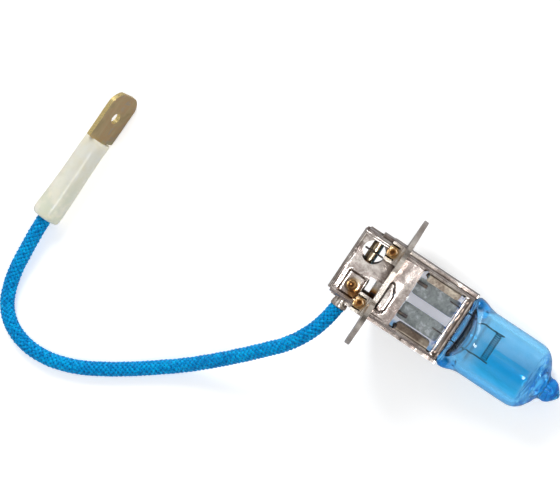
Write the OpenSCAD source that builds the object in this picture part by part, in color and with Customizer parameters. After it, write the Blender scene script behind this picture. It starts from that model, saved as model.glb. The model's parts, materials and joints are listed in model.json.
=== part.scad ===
// Transverse-filament halogen headlight bulb with a 22 mm flange base, a braided lead and a blade terminal.
// The lamp axis is local x: 0 is the front face of the flange, and the glass points to +x.
// The whole lamp lies nose down on its flange rim and glass, with the lead on the same surface.

/* [Glass envelope] */
// Outer diameter of the quartz tube
tube_d = 10.7; // [10.4:0.1:11]
// Wall thickness of the quartz tube
tube_wall = 0.95; // [0.85:0.05:1.05]
// Diameter over the shoulders where the tube meets the pinch
shoulder_d = 12; // [11.8:0.1:12.2]
// Flange face to the start of the rounded nose
nose_x = 25.2; // [24.8:0.1:25.6]
// Radius of the rounded nose
nose_r = 2.2; // [2:0.1:2.4]
// Radius of the sealed exhaust stub
stub_r = 1.9; // [1.7:0.1:2]
// Flange face to the point of the sealed exhaust stub
tip_x = 30.7; // [30.5:0.1:31]
// Width of the flat pinch
pinch_w = 10; // [9.6:0.1:10]
// Thickness of the flat pinch
pinch_t = 2.8; // [2.6:0.1:2.8]

/* [Filament and leads] */
// Flange face to the filament axis
light_x = 18; // [17:0.1:19]
// Sideways offset of the filament from the lamp axis
light_y = 0.6; // [0.4:0.1:0.8]
// Length of the coiled filament
coil_len = 4.7; // [4.3:0.1:4.7]
// Outer diameter of the coil
coil_d = 1.15; // [1:0.05:1.3]
// Diameter of the tungsten wire
coil_wire_d = 0.17; // [0.14:0.01:0.2]
// Number of turns
coil_turns = 14; // [10:1:14]
// Diameter of the inner lead wires
inner_lead_d = 0.4; // [0.3:0.05:0.45]
// Diameter of the outer lead wires
outer_lead_d = 0.6; // [0.5:0.05:0.7]
// Width of each sealing foil
foil_w = 2.8; // [1.8:0.1:2.8]

/* [Clamp shells] */
// Thickness of the sheet metal
sheet = 0.5; // [0.4:0.05:0.5]
// Height over both clamp shells
shell_h = 4.6; // [4.4:0.1:4.8]
// Half width of the upper shell
shell_hw = 5.6; // [5.6:0.05:5.7]
// Flange face to the rear wall of the shells
shell_rear = 7.6; // [7.4:0.1:7.8]
// Flange face to the front edge of the upper shell
shell_front = 12; // [11.8:0.1:12]

/* [Flange] */
// Diameter of the base flange
flange_d = 22; // [21.6:0.1:22]
// Thickness of the flange
flange_t = 0.8; // [0.7:0.05:0.9]
// Width of the keyway in the rim
key_w = 5.9; // [5:0.1:6]
// Height of the keyway floor above the lamp axis
key_floor = 7.4; // [7:0.1:8]

/* [Lead and terminal] */
// Diameter of the braided lead
lead_d = 2.4; // [2.2:0.1:2.4]
// Diameter of the stranded conductor
wire_d = 1.4; // [1.2:0.05:1.4]
// Outer diameter of the clamped ferrule
ferrule_d = 2.6; // [2.6:0.05:2.6]
// Width of the blade
blade_w = 6.3; // [6.2:0.05:6.3]
// Thickness of the blade
blade_t = 0.8; // [0.7:0.05:0.8]
// Length of the blade outside the boot
blade_len = 8.2; // [7.8:0.1:8.3]
// Diameter of the locking hole in the blade
blade_hole_d = 1.8; // [1.6:0.1:1.9]
// Roll of the blade about its own length
blade_roll = 70; // [60:1:70]
// Length of the insulating boot
boot_len = 14.8; // [14.2:0.1:15]
// Diameter of the boot at its tail
boot_tail_d = 4.8; // [4.7:0.1:5]
// Diameter of the boot at its mouth
boot_mouth_d = 4.3; // [4.2:0.1:4.4]
// Bore of the boot
boot_bore_d = 3.6; // [3.6:0.05:3.7]

/* [Hidden] */
$fn = 64;

// Clearance between pieces that are sealed or clamped together
fit = 0.02;
// Clearance between pieces that lie beside each other
gap = 0.05;
// Amount by which a cutter runs past the face that it opens
over = 1;

tube_r = tube_d / 2;
shoulder_r = shoulder_d / 2;
flange_r = flange_d / 2;
pinch_h = pinch_t / 2;

// Nose-down angle at which the flange rim and the rounded nose both touch the surface
rim_rise = flange_r - tube_r + nose_r;
lamp_tilt = acos(nose_r / norm([rim_rise, nose_x])) - atan2(nose_x, rim_rise);
floor_z = -flange_r * cos(lamp_tilt);

// Stations along the glass
pinch_back = 2.2;
pinch_front = 12.8;
shoulder_x = 12.4;
shoulder_flat = 0.6;
shoulder_run = 3;
ramp_x = 12.5;
ramp_run = 2.7;
ramp_steps = 6;
cavity_x = 13.4;
nose_turn = 70;
stub_x = 27.9;
glass_out = 7;

// Sealing foils and the wires on them
foil_t = 0.08;
foil_back = 3.4;
foil_front = 10.6;
foil_y = [2.3, -2];
inner_y = [light_y + coil_len / 2 + 0.05, light_y - coil_len / 2 - 0.05];
outer_y = [2.8, -2.6];
outer_front = 5;
inner_back = 9;
live_back = -6.1;
ground_back = -1.6;
inner_z = foil_t / 2 + inner_lead_d / 2;
outer_z = foil_t / 2 + outer_lead_d / 2;

// Coil mesh
coil_steps = 10;
coil_sides = 6;

// Clamp shells
face_z = shell_h / 2;
inside_z = face_z - sheet;
wall_end_z = 1.3;
lower_hw = shell_hw + gap + sheet;
lower_front = shell_front + 0.6;
wall_front = shoulder_x - gap;
window_back = 3.3;
window_front = 10.8;
tab_back = 4.2;
tab_front = 10;
tab_reach = 1.4;
slot_back = -3;
slot_front = -0.85;
slot_y = [-3.5, -0.35];
hole_x = -4.6;
hole_y = 2.9;
hole_r = 1.8;
recess_min = [-6.2, -4.8];
recess_max = [-3.2, -1.1];
recess_wall = 0.3;
wing_x = -4.8;
bead_y = [-4.3, 0.9];
bead_h = 0.5;

// Ears of the flange and the spots that weld them down
ear_back = -3;
ear_y = [3, 6.15];
ear_tab = [1.4, 2];
ear_slit = 0.25;
weld_r = 0.75;
weld_h = 0.08;

// Rear contact
ferrule_x = -4.6;
ferrule_front = -1.2;
ferrule_mouth = -7.1;
ferrule_bore = 1.05;
barrel_y = [-0.8, 1];
barrel_r = 1;
contact_end = 4.6;
contact_w = 0.9;
contact_t = 0.5;

// Terminal, with y = 0 at the shoulders of the blade; its lower edge and the tail of the boot rest
// on the surface, so it is turned a little in plan and raised a little towards its tip
term_at = [-52.4, -8.05, floor_z + 2.95];
term_turn = 2;
term_rise = 1.6;
term_dir = [sin(term_turn) * cos(term_rise), cos(term_turn) * cos(term_rise), sin(term_rise)];
lead_stop = -7.2;

// Lead, from the mouth of the ferrule down to the surface and round to the terminal
LEAD_ROUTE = [
    [ferrule_x * cos(lamp_tilt), ferrule_mouth, -ferrule_x * sin(lamp_tilt)],
    [-5, -10.1, 0.9],
    [-6.1, -13.1, 0.3],
    [-8.2, -16.4, -1],
    [-11, -19.4, -2.7],
    [-14.3, -22.7, -4.8],
    [-17.8, -26, -6.9],
    [-21.3, -29.1, -8.5],
    [-24.8, -31.9, -9.3],
    [-28.2, -34.5, -9.5],
    [-31.8, -37, -9.5],
    [-36, -39.4, -9.5],
    [-40.6, -40.9, -9.5],
    [-44.8, -41, -9.5],
    [-48.3, -39.8, -9.5],
    [-50.6, -37.7, -9.5],
    [-51.9, -34.8, -9.4],
    [-52.5, -31.8, -9.1],
    [-52.7, -28.6, -8.7],
    [-52.8, -25.9, -8.3],
    term_at - 13.6 * term_dir,
    term_at - 10.4 * term_dir,
    term_at + lead_stop * term_dir
];
lead_sides = 8;

// Blade, crimps and boot
neck_w = 3.2;
neck_back = -2.2;
wire_barrel = [-6, -2];
wire_barrel_r = 1.35;
jacket_barrel = [-9.6, -6.5];
jacket_barrel_r = 1.65;
bridge_w = 1.2;
bridge_t = 0.4;
blade_chamfer = [1.7, 1.5];
blade_hole_back = 4.1;
boot_gap = 0.1;

function unit(v) = v / norm(v);

// Direction of the route at point i; both ends leave their fittings squarely
function route_dir(p, i) =
    i == 0 ? [0, -1, 0] : i == len(p) - 1 ? term_dir : unit(p[i + 1] - p[i - 1]);

function ring(p, i, r, n) =
    let (t = route_dir(p, i), s = unit(cross(t, [0, 0, 1])), u = cross(s, t))
    [for (k = [0:n - 1]) let (a = 360 * (k + 0.5) / n) p[i] + r * (cos(a) * s + sin(a) * u)];

// Closed tube of n sides through rings of points
module skin(rings, n) {
    last = len(rings) - 1;
    polyhedron(
        points = [for (r = rings) each r],
        faces = concat(
            [[for (k = [0:n - 1]) k]],
            [[for (k = [n - 1:-1:0]) last * n + k]],
            [for (i = [0:last - 1], k = [0:n - 1])
                let (a = i * n + k, b = i * n + (k + 1) % n) [a, a + n, b + n, b]]
        ),
        convexity = 10
    );
}

// Children are drawn in the lamp's own frame and laid down with it
module lamp() {
    rotate([0, lamp_tilt, 0]) children();
}

// Round bar along the lamp axis
module rod_x(x0, x1, y, z, r) {
    translate([x0, y, z]) rotate([0, 90, 0]) cylinder(h = x1 - x0, r = r);
}

// Round bar across the lamp
module rod_y(x, y0, y1, z, r) {
    translate([x, y1, z]) rotate([90, 0, 0]) cylinder(h = y1 - y0, r = r);
}

module block(low, high) {
    translate(low) cube(high - low);
}

// Turned solid whose outline is a list of [x, r] points
module turned(outline) {
    rotate([0, 90, 0]) rotate_extrude() polygon([for (p = outline) [p[1], p[0]]]);
}

function glass_outline() = concat(
    [[shoulder_x, 0], [shoulder_x, shoulder_r]],
    [for (i = [0:6])
        [shoulder_x + shoulder_flat + shoulder_run * i / 6,
         tube_r + (shoulder_r - tube_r) * (1 + cos(30 * i)) / 2]],
    [for (a = [0:10:nose_turn]) [nose_x + nose_r * sin(a), tube_r - nose_r + nose_r * cos(a)]],
    [[stub_x, stub_r], [tip_x - 1.7, stub_r], [tip_x - 1.1, stub_r - 0.3],
     [tip_x - 0.6, stub_r - 0.9], [tip_x - 0.2, 0.5], [tip_x, 0]]
);

function cavity_outline() = let (r = tube_r - tube_wall, n = nose_r - tube_wall) concat(
    [[cavity_x, 0], [cavity_x + 0.1, 2], [cavity_x + 0.5, r - 1], [cavity_x + 1.3, r - 0.2], [16, r]],
    [for (a = [0:14:nose_turn]) [nose_x + n * sin(a), r - n + n * cos(a)]],
    [[stub_x - 1.3, 1.4], [stub_x - 0.7, 0.6], [stub_x + 1.2, 0.4], [stub_x + 1.4, 0]]
);

// Wedge that flattens the rear of the tube into the pinch, drawn from the side
module pinch_wedge() {
    upper = [for (i = [0:ramp_steps])
        [ramp_x + ramp_run * i / ramp_steps,
         pinch_h + (glass_out - pinch_h) * sin(90 * i / ramp_steps)]];
    side = concat([[shoulder_x - over, pinch_h]], upper, [[tip_x + over, glass_out]]);
    mirrored = [for (i = [len(side) - 1:-1:0]) [side[i][0], -side[i][1]]];
    rotate([90, 0, 0]) linear_extrude(2 * glass_out, center = true) polygon(concat(side, mirrored));
}

module quartz_envelope() {
    color("#8fb8e8", 0.4) lamp() difference() {
        union() {
            intersection() {
                turned(glass_outline());
                pinch_wedge();
            }
            block([pinch_back, -pinch_w / 2, -pinch_h], [pinch_front, pinch_w / 2, pinch_h]);
        }
        turned(cavity_outline());
        for (i = [0, 1]) {
            foil_solid(foil_y[i], fit);
            rod_x(pinch_back - over, outer_front + fit, outer_y[i], outer_z, outer_lead_d / 2 + fit);
            rod_x(inner_back - fit, cavity_x + over, inner_y[i], inner_z, inner_lead_d / 2 + fit);
        }
    }
}

module foil_solid(y, grow = 0) {
    block([foil_back - grow, y - foil_w / 2 - grow, -foil_t / 2 - grow],
        [foil_front + grow, y + foil_w / 2 + grow, foil_t / 2 + grow]);
}

// Coil swept as a helix whose axis lies across the lamp
module filament_coil() {
    r = (coil_d - coil_wire_d) / 2;
    pitch = (coil_len - coil_wire_d) / coil_turns;
    start = light_y - coil_len / 2 + coil_wire_d / 2;
    rings = [for (i = [0:coil_turns * coil_steps])
        let (
            a = 360 * i / coil_steps,
            out = [cos(a), 0, sin(a)],
            c = [light_x, start + pitch * i / coil_steps, inner_z] + r * out
        )
        [for (k = [0:coil_sides - 1])
            let (b = -360 * k / coil_sides)
            c + coil_wire_d / 2 * (cos(b) * out + sin(b) * [0, 1, 0])]];
    color("#9a9a9e") lamp() skin(rings, coil_sides);
}

module inner_lead(i) {
    front = light_x + coil_d / 2 + 0.3;
    color("#8a8a8c") lamp() rod_x(inner_back, front, inner_y[i], inner_z, inner_lead_d / 2);
}

module outer_lead(i, back) {
    color("#5c6066") lamp() rod_x(back, outer_front, outer_y[i], outer_z, outer_lead_d / 2);
}

module foil(i) {
    color("#7f8f86") lamp() foil_solid(foil_y[i]);
}

// Openings that both shells share, as a flat outline
module shell_cuts() {
    translate([window_back, -shell_hw + sheet]) square([window_front - window_back, 2 * (shell_hw - sheet)]);
    translate([slot_back, slot_y[0]]) square([slot_front - slot_back, slot_y[1] - slot_y[0]]);
    translate([hole_x, hole_y]) circle(r = hole_r);
    translate(recess_min + [recess_wall, recess_wall])
        square(recess_max - recess_min - 2 * [recess_wall, recess_wall]);
}

// Sunk pad that grips the ferrule
module recess_pad() {
    block([recess_min[0], recess_min[1], ferrule_d / 2], [recess_max[0], recess_max[1], inside_z]);
}

// Tabs bent inwards from the sides of the window until they press on the pinch
module window_tabs() {
    hinge = shell_hw - sheet;
    for (s = [0, 1]) mirror([0, s, 0])
        translate([tab_back, 0, 0]) rotate([90, 0, 90]) linear_extrude(tab_front - tab_back)
            polygon([[hinge, face_z], [hinge, inside_z], [hinge - tab_reach, pinch_h + fit],
                [hinge - tab_reach, pinch_h + fit + sheet]]);
}

module shell_upper() {
    rear = -shell_rear;
    color("#d8cfc8") lamp() difference() {
        union() {
            translate([0, 0, inside_z]) linear_extrude(sheet) difference() {
                translate([rear + sheet, -shell_hw]) square([shell_front + shell_rear - sheet, 2 * shell_hw]);
                shell_cuts();
            }
            for (s = [-1, 1])
                block([rear + sheet, s > 0 ? shell_hw - sheet : -shell_hw, -wall_end_z],
                    [shell_front, s > 0 ? shell_hw : sheet - shell_hw, inside_z]);
            rear_fold(rear);
            recess_pad();
            window_tabs();
            face_bead();
        }
        rod_y(ferrule_x, -shell_hw - over, sheet - shell_hw + over, 0, ferrule_d / 2 + fit);
    }
}

// Rear wall with its rounded bend into the upper face
module rear_fold(rear) {
    block([rear, -shell_hw, -inside_z + gap], [rear + sheet, shell_hw, inside_z]);
    intersection() {
        rod_y(rear + sheet, -shell_hw, shell_hw, inside_z, sheet);
        block([rear - over, -shell_hw, inside_z], [rear + sheet, shell_hw, face_z]);
    }
}

// Raised bead that stiffens the upper face just in front of the flange
module face_bead() {
    translate([0, 0, face_z]) linear_extrude(bead_h)
        polygon([[0.02, bead_y[0]], [1, bead_y[0]], [1.6, bead_y[0] + 0.6], [1.6, -0.8], [1, 0.3],
            [0.5, bead_y[1]], [0.02, bead_y[1]]]);
}

module shell_lower() {
    rear = sheet + gap - shell_rear;
    color("#c9c3c2") lamp() difference() {
        union() {
            mirror([0, 0, 1]) translate([0, 0, inside_z]) linear_extrude(sheet) difference() {
                union() {
                    translate([rear, -shell_hw]) square([wing_x - rear, 2 * shell_hw]);
                    translate([wing_x, -lower_hw]) square([lower_front - wing_x, 2 * lower_hw]);
                }
                shell_cuts();
            }
            for (s = [-1, 1])
                block([wing_x, s > 0 ? lower_hw - sheet : -lower_hw, -inside_z],
                    [wall_front, s > 0 ? lower_hw : sheet - lower_hw, wall_end_z]);
            mirror([0, 0, 1]) recess_pad();
            mirror([0, 0, 1]) window_tabs();
        }
        rod_y(ferrule_x, -lower_hw - over, sheet - shell_hw + over, 0, ferrule_d / 2 + fit);
    }
}

// One ear, bent back from the flange over the shells, with its weld tab cut free on three sides
module ear() {
    z0 = face_z + gap;
    mid = (ear_y[0] + ear_y[1]) / 2;
    difference() {
        block([ear_back, ear_y[0], z0], [-flange_t, ear_y[1], z0 + sheet]);
        for (s = [-1, 1])
            block([ear_back - over, mid + s * ear_tab[1] / 2 - ear_slit / 2, z0 - over],
                [ear_back + ear_tab[0], mid + s * ear_tab[1] / 2 + ear_slit / 2, z0 + sheet + over]);
    }
}

module flange_plate() {
    opening_y = lower_hw + gap;
    opening_z = face_z + gap;
    color("#d9d2c6") lamp() union() {
        difference() {
            rod_x(-flange_t, 0, 0, 0, flange_r);
            block([-flange_t - over, -opening_y, -opening_z], [over, opening_y, opening_z]);
            block([-flange_t - over, bead_y[0] - gap, 0], [over, bead_y[1] + gap, opening_z + bead_h + 2 * gap]);
            block([-flange_t - over, -key_w / 2, key_floor], [over, key_w / 2, flange_r + over]);
        }
        for (a = [0, 1], b = [0, 1]) mirror([0, a, 0]) mirror([0, 0, b]) ear();
    }
}

// Welds that hold the ears down on the shells
module weld_spots() {
    mid = (ear_y[0] + ear_y[1]) / 2;
    top = face_z + gap + sheet;
    color("#a8702c") lamp() for (a = [0, 1], b = [0, 1])
        mirror([0, a, 0]) mirror([0, 0, b])
            translate([ear_back + weld_r, mid, top]) cylinder(h = weld_h, r = weld_r);
}

// Strip that stands on the lower shell and carries the earthed lead
module ground_tab() {
    top = foil_t / 2;
    color("#d6c9a8") lamp() union() {
        block([-1.7, -3.4, -inside_z], [-1.2, -0.4, top]);
        block([-1.7, -3.4, top - sheet], [-0.1, -0.4, top]);
    }
}

// Crimped barrel with a tongue under the live lead
module live_contact() {
    top = foil_t / 2;
    color("#cfc9c4") lamp() difference() {
        union() {
            rod_y(ferrule_x, barrel_y[0], barrel_y[1], 0, barrel_r);
            block([ferrule_x - contact_w / 2, barrel_y[1] - contact_t, gap - barrel_r],
                [ferrule_x + contact_w / 2, barrel_y[1] + contact_t, top]);
            block([ferrule_x - contact_w / 2, barrel_y[1], top - contact_t],
                [ferrule_x + contact_w / 2, contact_end, top]);
        }
        rod_y(ferrule_x, barrel_y[0] - over, barrel_y[1] + fit, 0, wire_d / 2 + fit);
    }
}

module cable_ferrule() {
    color("#cdc6bd") lamp() difference() {
        rod_y(ferrule_x, ferrule_mouth, ferrule_front, 0, ferrule_d / 2);
        rod_y(ferrule_x, ferrule_mouth - over, ferrule_front + over, 0, ferrule_bore);
    }
}

module insulation_tail() {
    color("#e6e2da") lamp() difference() {
        rod_y(ferrule_x, ferrule_mouth, ferrule_front, 0, ferrule_bore - fit);
        rod_y(ferrule_x, ferrule_mouth - over, ferrule_front + over, 0, wire_d / 2 + fit);
    }
}

module conductor_tail() {
    color("#b87a4a") lamp() rod_y(ferrule_x, ferrule_mouth, barrel_y[1], 0, wire_d / 2);
}

module cable() {
    color("#1583d8")
        skin([for (i = [0:len(LEAD_ROUTE) - 1]) ring(LEAD_ROUTE, i, lead_d / 2, lead_sides)], lead_sides);
}

module at_terminal() {
    translate(term_at) rotate([term_rise, 0, -term_turn]) children();
}

module conductor_end() {
    color("#b87a4a") at_terminal() rod_y(0, lead_stop, wire_barrel[1] - 0.6, 0, wire_d / 2);
}

function half_blade() = [[blade_w / 2, 0], [blade_w / 2, blade_len - blade_chamfer[0]],
    [blade_w / 2 - blade_chamfer[1] * 0.45, blade_len - blade_chamfer[0] * 0.35],
    [blade_w / 2 - blade_chamfer[1], blade_len]];

module blade_outline() {
    half = half_blade();
    polygon(concat(half, [for (i = [len(half) - 1:-1:0]) [-half[i][0], half[i][1]]]));
    translate([-neck_w / 2, neck_back]) square([neck_w, over - neck_back]);
}

// Barrel open at both ends, for a crimp
module crimp(span, r, bore) {
    difference() {
        rod_y(0, span[0], span[1], 0, r);
        rod_y(0, span[0] - over, span[1] + over, 0, bore);
    }
}

module blade_terminal() {
    color("#b98f4e") at_terminal() rotate([0, blade_roll, 0]) union() {
        difference() {
            translate([0, 0, -blade_t / 2]) linear_extrude(blade_t) blade_outline();
            translate([0, blade_len - blade_hole_back, -blade_t])
                cylinder(h = 2 * blade_t, r = blade_hole_d / 2);
        }
        crimp(wire_barrel, wire_barrel_r, wire_d / 2 + fit);
        crimp(jacket_barrel, jacket_barrel_r, lead_d / 2 + gap);
        block([-bridge_w / 2, jacket_barrel[1] - 0.1, -wire_barrel_r],
            [bridge_w / 2, wire_barrel[0] + 0.1, bridge_t - wire_barrel_r]);
    }
}

module terminal_boot() {
    bore = boot_bore_d / 2;
    tail = boot_tail_d / 2;
    color("#e4dfcf") at_terminal() translate([0, -boot_gap, 0]) rotate([90, 0, 0]) rotate_extrude()
        polygon([[bore, 0], [boot_mouth_d / 2, 0], [tail, boot_len - 2], [tail - 0.15, boot_len],
            [bore, boot_len]]);
}

quartz_envelope();
filament_coil();
inner_lead(0);  // inner_lead_live
inner_lead(1);  // inner_lead_ground
foil(0);  // foil_live
foil(1);  // foil_ground
outer_lead(0, live_back);  // outer_lead_live
outer_lead(1, ground_back);  // outer_lead_ground
shell_upper();
shell_lower();
flange_plate();
weld_spots();
ground_tab();
live_contact();
cable_ferrule();
insulation_tail();
conductor_tail();
cable();
conductor_end();
blade_terminal();
terminal_boot();
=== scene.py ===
import json
from math import atan2, copysign, cos, exp, hypot, pi, radians, sin, sqrt

import bmesh
import bpy
from mathutils import Matrix, Vector, noise
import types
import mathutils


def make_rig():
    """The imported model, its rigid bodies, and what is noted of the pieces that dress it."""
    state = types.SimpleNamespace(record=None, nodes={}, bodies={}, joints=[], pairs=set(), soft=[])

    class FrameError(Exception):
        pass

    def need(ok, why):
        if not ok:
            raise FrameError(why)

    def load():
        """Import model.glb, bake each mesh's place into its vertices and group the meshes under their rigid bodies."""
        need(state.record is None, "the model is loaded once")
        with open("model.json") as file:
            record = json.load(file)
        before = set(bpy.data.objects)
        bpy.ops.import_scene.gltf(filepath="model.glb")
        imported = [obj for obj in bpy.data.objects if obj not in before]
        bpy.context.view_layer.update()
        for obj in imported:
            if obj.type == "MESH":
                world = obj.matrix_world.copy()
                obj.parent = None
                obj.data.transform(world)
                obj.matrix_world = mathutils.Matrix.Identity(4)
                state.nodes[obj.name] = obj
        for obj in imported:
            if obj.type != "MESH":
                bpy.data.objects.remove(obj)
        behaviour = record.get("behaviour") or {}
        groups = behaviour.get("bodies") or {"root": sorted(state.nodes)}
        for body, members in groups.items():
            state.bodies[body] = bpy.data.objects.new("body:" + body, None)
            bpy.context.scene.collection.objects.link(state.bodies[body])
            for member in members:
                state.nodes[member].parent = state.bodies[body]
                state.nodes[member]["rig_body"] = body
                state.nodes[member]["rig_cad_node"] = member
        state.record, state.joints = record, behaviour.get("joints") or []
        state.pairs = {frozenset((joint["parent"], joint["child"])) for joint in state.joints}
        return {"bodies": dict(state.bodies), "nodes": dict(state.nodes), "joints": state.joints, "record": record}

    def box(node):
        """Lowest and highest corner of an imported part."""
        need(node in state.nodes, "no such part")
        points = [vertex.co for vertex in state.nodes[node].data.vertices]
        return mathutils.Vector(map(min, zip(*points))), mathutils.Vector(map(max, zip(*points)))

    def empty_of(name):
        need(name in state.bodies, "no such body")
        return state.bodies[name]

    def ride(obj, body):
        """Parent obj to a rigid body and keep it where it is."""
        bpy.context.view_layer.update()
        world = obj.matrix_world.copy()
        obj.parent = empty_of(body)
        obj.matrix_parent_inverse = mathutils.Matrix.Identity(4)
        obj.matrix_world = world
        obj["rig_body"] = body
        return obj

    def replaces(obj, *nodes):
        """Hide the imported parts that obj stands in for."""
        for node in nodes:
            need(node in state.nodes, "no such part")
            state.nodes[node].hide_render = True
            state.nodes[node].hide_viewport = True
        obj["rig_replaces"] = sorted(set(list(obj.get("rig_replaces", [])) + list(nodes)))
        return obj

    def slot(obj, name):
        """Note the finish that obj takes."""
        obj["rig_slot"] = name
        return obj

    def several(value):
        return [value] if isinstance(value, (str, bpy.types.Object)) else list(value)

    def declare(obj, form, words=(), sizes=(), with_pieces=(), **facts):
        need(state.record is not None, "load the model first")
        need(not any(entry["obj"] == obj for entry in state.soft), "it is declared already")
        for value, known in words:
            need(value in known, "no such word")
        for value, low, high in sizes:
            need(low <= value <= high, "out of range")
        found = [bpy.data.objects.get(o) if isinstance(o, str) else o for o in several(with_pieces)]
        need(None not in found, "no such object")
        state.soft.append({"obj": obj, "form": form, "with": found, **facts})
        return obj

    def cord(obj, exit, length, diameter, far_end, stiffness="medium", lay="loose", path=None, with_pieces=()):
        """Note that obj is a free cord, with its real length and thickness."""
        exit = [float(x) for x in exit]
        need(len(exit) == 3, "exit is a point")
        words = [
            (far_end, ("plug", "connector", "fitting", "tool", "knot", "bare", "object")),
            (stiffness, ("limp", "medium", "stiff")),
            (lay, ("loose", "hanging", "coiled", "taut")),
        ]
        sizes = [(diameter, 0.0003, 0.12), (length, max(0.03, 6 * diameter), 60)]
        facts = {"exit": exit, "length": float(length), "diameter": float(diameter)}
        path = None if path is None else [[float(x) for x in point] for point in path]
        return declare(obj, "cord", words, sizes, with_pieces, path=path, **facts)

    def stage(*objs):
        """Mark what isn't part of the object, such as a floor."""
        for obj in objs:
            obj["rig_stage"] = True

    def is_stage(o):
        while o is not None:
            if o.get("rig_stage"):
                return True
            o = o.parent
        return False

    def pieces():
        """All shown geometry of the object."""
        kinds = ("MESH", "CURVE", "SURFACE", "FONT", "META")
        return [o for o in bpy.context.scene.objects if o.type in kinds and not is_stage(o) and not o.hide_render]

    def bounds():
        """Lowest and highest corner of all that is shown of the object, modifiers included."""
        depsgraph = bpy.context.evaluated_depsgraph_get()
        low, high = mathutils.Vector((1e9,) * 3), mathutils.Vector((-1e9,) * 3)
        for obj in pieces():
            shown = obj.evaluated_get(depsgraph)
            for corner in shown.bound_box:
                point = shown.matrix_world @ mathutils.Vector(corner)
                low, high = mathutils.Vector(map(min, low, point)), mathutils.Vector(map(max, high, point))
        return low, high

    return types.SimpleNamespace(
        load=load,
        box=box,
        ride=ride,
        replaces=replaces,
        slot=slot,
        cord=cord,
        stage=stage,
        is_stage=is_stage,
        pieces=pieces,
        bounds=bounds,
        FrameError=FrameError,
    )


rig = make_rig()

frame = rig.load()
cad_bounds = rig.bounds()
mounts = {m["name"]: m for m in frame["record"]["mounts"]}
scene = bpy.context.scene

# ---- places
# Lengths are millimetres, unless a comment says otherwise, in the frame of the lamp (x from the flange's
# front face to the nose, z out of the upper shell) or of the terminal (y along the blade). These
# matrices lay both in the row frame, in metres.
MM = 0.001
BLADE_LEN = 8.2
lamp_axis = Vector(mounts["flange_rim"]["axis"])
lamp_tilt = atan2(-lamp_axis.z, lamp_axis.x)
LAMP = Matrix.Rotation(lamp_tilt, 4, "Y") @ Matrix.Scale(MM, 4)
lamp_side = Vector((0, 1, 0))
lamp_top = LAMP.to_3x3().col[2].normalized()
blade_way = Vector(mounts["blade_tab"]["axis"])
term_origin = Vector(mounts["blade_tab"]["pos_m"]) - BLADE_LEN * MM * blade_way


def frame_on(origin, y, z):
    """Matrix of a frame in millimetres with its y and z along two directions."""
    turn = Matrix((y.cross(z), y, z)).transposed().to_4x4()
    return Matrix.Translation(origin) @ turn @ Matrix.Scale(MM, 4)


TERM = frame_on(term_origin, blade_way, Vector((1, 0, 0)).cross(blade_way).normalized())
BLADE = frame_on(term_origin, blade_way, Vector(mounts["blade_hole"]["axis"]))
FLOOR_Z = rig.box("flange_plate")[0].z

# ---- sizes that the CAD model fixes
TUBE_R = 5.35
FACE_Z = 2.3  # outer faces of both shells, from the lamp's axis
SHEET = 0.5
UPPER_HALF = 5.6  # half widths of the shells
LOWER_HALF = 6.15
SHELL_FRONT = 12.0
WALL_END = -1.3  # free edges of the shells' walls
FOLD_X = -7.0  # rear fold of the shells
HOLE = (-4.6, 2.9, 1.8)  # x, y and radius of the round hole
FERRULE_X = -4.6
FLANGE_R = 11.0
FLANGE_T = 0.8
KEY_HALF = 2.95  # keyway: half width, distance of its floor and half angle at the rim
KEY_FLOOR = 7.4
KEY_ANGLE = 15.6
EAR_REAR = -3.0  # ears: rear edges, sides, top faces and the bends that lead into the flange
EAR_Y = (3.0, 6.15)
EAR_TOP = FACE_Z + 0.05 + SHEET
EAR_BEND_X = -1.25
EAR_BEND = 0.45
WELD_X = -2.25
WELD_Y = sum(EAR_Y) / 2
PINCH_START = 2.2
LIGHT = (18.0, 0.6)  # x and y of the filament's middle
INNER_Z = 0.24  # heights of the wires that lie on and behind the foils
OUTER_Z = 0.34
LEAD_D = 2.4

# ---- sizes of what the press leaves in the shells
BEND = 0.6
PAD = (-4.7, -2.95, 1.62, 1.95)  # middle and half sizes of the sunk pad
PAD_DEPTH = 0.5
WINDOW_X = (3.3, 10.8)
WINDOW_HALF = 5.1
TAB_X = (4.2, 10.0)  # tabs that hang in the window's sides, and how near they come
TAB_TIP = 3.7
TAB_DROP = 0.38
SLOT = (-3.0, -0.85, -3.5, -0.35)
GROOVE = ((11.0, 11.15), (11.65, 11.8))  # slopes of the front groove along the lamp and at its ends
GROOVE_END = (5.0, 5.3)
BEAD = ((0.835, -1.675), (0.785, 2.575))  # middle and half sizes of the stop bead
CROWN = 0.004  # fall of the rear face per square millimetre off its middle
CROWN_X = -4.5
ROLL_START = (-6.4, -2.2, FACE_Z)  # where the rear face starts to roll off, which way and how much
ROLL_WAY = (0.5, 0.86, 0)
ROLL_OFF = 0.0095

# ---- welds
PAD_WELDS = [(-4.6, -3.0, FACE_Z), (-3.9, -3.8, FACE_Z)]
QUARTERS = [(a, b) for a in (-1, 1) for b in (-1, 1)]  # signs of the side and of the face of a shell
EAR_WELDS = [(WELD_X, a * WELD_Y, b * (FACE_Z + SHEET)) for a, b in QUARTERS]
TAB_WELD = (-1.3, -2.9, 0.1)


# ---- camera
def make_camera(target, azimuth, elevation, roll, distance, lens):
    """Camera on a long lens, in metres and degrees; roll turns the picture about the line of sight."""
    data = bpy.data.cameras.new("camera")
    data.lens = lens
    data.sensor_width = 36
    data.clip_start = 0.01
    data.clip_end = 10
    camera = bpy.data.objects.new("camera", data)
    view = Matrix.Translation(target)
    for angle, axis in ((azimuth, "Z"), (90 - elevation, "X"), (roll, "Z")):
        view = view @ Matrix.Rotation(radians(angle), 4, axis)
    camera.matrix_world = view @ Matrix.Translation((0, 0, distance))
    scene.collection.objects.link(camera)
    scene.camera = camera


make_camera((-0.01677, -0.00548, 0), azimuth=114.6, elevation=75.7, roll=-80.3, distance=0.706, lens=300)


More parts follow.
